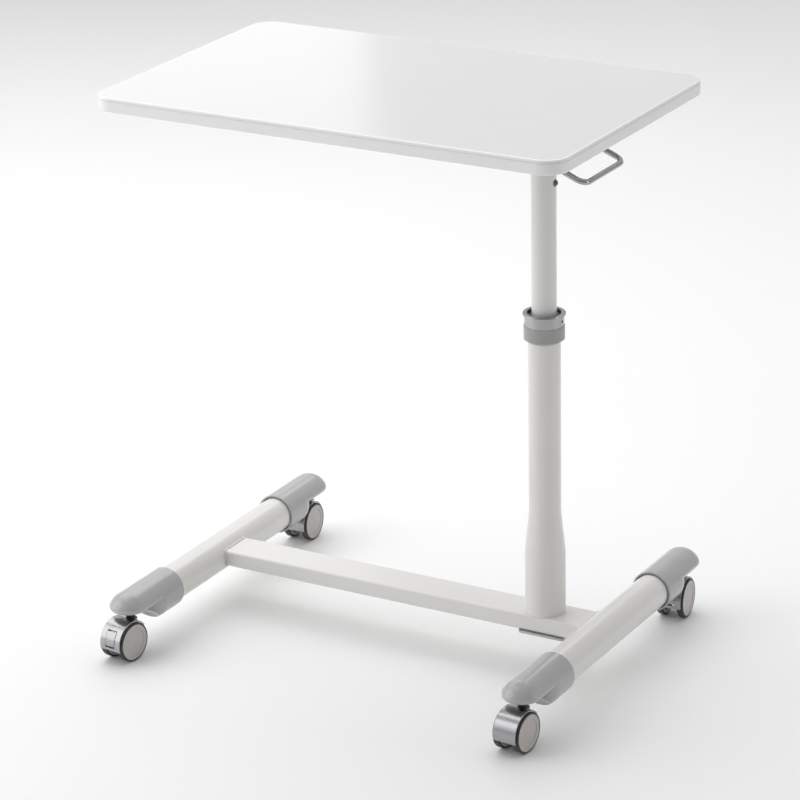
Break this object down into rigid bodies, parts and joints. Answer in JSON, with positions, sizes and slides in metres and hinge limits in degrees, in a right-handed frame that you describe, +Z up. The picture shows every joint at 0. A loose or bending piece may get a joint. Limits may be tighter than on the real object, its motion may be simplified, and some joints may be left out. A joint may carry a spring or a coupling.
{
  "type": "overbed table",
  "caption": "Overbed table on castors: a rounded white top on an off-centre column that telescopes on a locking gas spring, a bail lever under the top and an H-shaped tube base.",
  "frame": {"origin": "on the floor, below the middle of the bounding box", "axes": "+X along the long edge of the top, towards the column; +Y away from the user, along the feet; +Z up"},
  "size_m": [0.625, 0.4979, 0.711],
  "materials": {
    "laminate": "smooth semi-gloss white laminate",
    "edge_trim": "glossy off-white edge band",
    "painted_frame": "glossy warm-white powder coat",
    "grey_collar": "satin grey",
    "chrome": "polished",
    "steel": "plain zinc-plated",
    "fasteners": "dark zinc",
    "black_paint": "satin black",
    "black_plastic": "matte",
    "grey_plastic": "satin moulded grey",
    "castor_chrome": "chrome-plated plastic",
    "dark_steel": "black oxide",
    "castor_disc": "satin brown-grey",
    "tyre": "matte black",
    "pedal_plastic": "chrome-plated plastic"
  },
  "bodies": {
    "base": {"lower_column": "painted_frame", "spring_foot": "black_plastic", "gas_cylinder": "black_paint", "upper_bush": "black_plastic", "collar_ring": "grey_collar", "collar_chrome": "chrome", "crossbar": "painted_frame", "base_plate": "steel", "base_bolts": "fasteners", "foot_left": "painted_frame", "foot_right": "painted_frame", "cap_screws": "fasteners", "stem_sockets": "steel", "end_cap_fl": "grey_plastic", "end_cap_fr": "grey_plastic", "end_cap_rl": "grey_plastic", "end_cap_rr": "grey_plastic"},
    "top": {"table_top": "laminate", "edge_band": "edge_trim", "mount_plate": "steel", "plate_screws": "fasteners", "upper_tube": "painted_frame", "rod_plug": "steel", "clamp_screw": "fasteners", "lower_bush": "black_plastic", "gas_rod": "steel"},
    "lever": {"release_lever": "chrome", "lever_shaft": "steel", "release_finger": "steel"},
    "release_pin": {"release_pin": "steel"},
    "castor_fl": {"castor_body_fl": "castor_chrome", "castor_stem_fl": "dark_steel", "castor_axle_fl": "dark_steel"},
    "wheel_left_fl": {"hub_left_fl": "castor_disc", "tyre_left_fl": "tyre"},
    "wheel_right_fl": {"hub_right_fl": "castor_disc", "tyre_right_fl": "tyre"},
    "brake_fl": {"brake_pedal_fl": "pedal_plastic"},
    "castor_fr": {"castor_body_fr": "castor_chrome", "castor_stem_fr": "dark_steel", "castor_axle_fr": "dark_steel"},
    "wheel_left_fr": {"hub_left_fr": "castor_disc", "tyre_left_fr": "tyre"},
    "wheel_right_fr": {"hub_right_fr": "castor_disc", "tyre_right_fr": "tyre"},
    "castor_rl": {"castor_body_rl": "castor_chrome", "castor_stem_rl": "dark_steel", "castor_axle_rl": "dark_steel"},
    "wheel_left_rl": {"hub_left_rl": "castor_disc", "tyre_left_rl": "tyre"},
    "wheel_right_rl": {"hub_right_rl": "castor_disc", "tyre_right_rl": "tyre"},
    "castor_rr": {"castor_body_rr": "castor_chrome", "castor_stem_rr": "dark_steel", "castor_axle_rr": "dark_steel"},
    "wheel_left_rr": {"hub_left_rr": "castor_disc", "tyre_left_rr": "tyre"},
    "wheel_right_rr": {"hub_right_rr": "castor_disc", "tyre_right_rr": "tyre"},
    "brake_rr": {"brake_pedal_rr": "pedal_plastic"}
  },
  "joints": [
    {"name": "column_slide", "type": "slide", "parent": "base", "child": "top", "axis": [0, 0, 1], "range_m": [-0.15, 0.12]},
    {"name": "lever_hinge", "type": "hinge", "parent": "top", "child": "lever", "pos_m": [0.2225, 0.0076, 0.663], "axis": [0, -1, 0], "range_deg": [0, 9], "stiffness_Nm_per_rad": 8, "springref_deg": -1.72},
    {"name": "pin_slide", "type": "slide", "parent": "top", "child": "release_pin", "axis": [0, 0, -1], "range_m": [0, 0.0045]},
    {"name": "castor_swivel_fl", "type": "hinge", "parent": "base", "child": "castor_fl", "pos_m": [-0.275, -0.207, 0.06], "axis": [0, 0, 1], "continuous": true},
    {"name": "wheel_spin_left_fl", "type": "hinge", "parent": "castor_fl", "child": "wheel_left_fl", "pos_m": [-0.27669, -0.2208, 0.025], "axis": [0.9925, -0.1219, 0], "continuous": true},
    {"name": "wheel_spin_right_fl", "type": "hinge", "parent": "castor_fl", "child": "wheel_right_fl", "pos_m": [-0.27669, -0.2208, 0.025], "axis": [0.9925, -0.1219, 0], "continuous": true},
    {"name": "brake_hinge_fl", "type": "hinge", "parent": "castor_fl", "child": "brake_fl", "pos_m": [-0.27858, -0.23615, 0.03994], "axis": [0.9925, -0.1219, 0], "range_deg": [0, 9]},
    {"name": "castor_swivel_fr", "type": "hinge", "parent": "base", "child": "castor_fr", "pos_m": [0.275, -0.207, 0.06], "axis": [0, 0, 1], "continuous": true},
    {"name": "wheel_spin_left_fr", "type": "hinge", "parent": "castor_fr", "child": "wheel_left_fr", "pos_m": [0.27379, -0.22085, 0.025], "axis": [0.9962, -0.0872, 0], "continuous": true},
    {"name": "wheel_spin_right_fr", "type": "hinge", "parent": "castor_fr", "child": "wheel_right_fr", "pos_m": [0.27379, -0.22085, 0.025], "axis": [0.9962, -0.0872, 0], "continuous": true},
    {"name": "castor_swivel_rl", "type": "hinge", "parent": "base", "child": "castor_rl", "pos_m": [-0.275, 0.2222, 0.06], "axis": [0, 0, 1], "continuous": true},
    {"name": "wheel_spin_left_rl", "type": "hinge", "parent": "castor_rl", "child": "wheel_left_rl", "pos_m": [-0.27451, 0.20831, 0.025], "axis": [0.9994, 0.0349, 0], "continuous": true},
    {"name": "wheel_spin_right_rl", "type": "hinge", "parent": "castor_rl", "child": "wheel_right_rl", "pos_m": [-0.27451, 0.20831, 0.025], "axis": [0.9994, 0.0349, 0], "continuous": true},
    {"name": "castor_swivel_rr", "type": "hinge", "parent": "base", "child": "castor_rr", "pos_m": [0.275, 0.2222, 0.06], "axis": [0, 0, 1], "continuous": true},
    {"name": "wheel_spin_left_rr", "type": "hinge", "parent": "castor_rr", "child": "wheel_left_rr", "pos_m": [0.27645, 0.20838, 0.025], "axis": [0.9945, 0.1045, 0], "continuous": true},
    {"name": "wheel_spin_right_rr", "type": "hinge", "parent": "castor_rr", "child": "wheel_right_rr", "pos_m": [0.27645, 0.20838, 0.025], "axis": [0.9945, 0.1045, 0], "continuous": true},
    {"name": "brake_hinge_rr", "type": "hinge", "parent": "castor_rr", "child": "brake_rr", "pos_m": [0.27807, 0.193, 0.03994], "axis": [0.9945, 0.1045, 0], "range_deg": [0, 9]}
  ],
  "couplings": [
    {"joint": "pin_slide", "follows": "lever_hinge", "m_per_rad": 0.028}
  ]
}
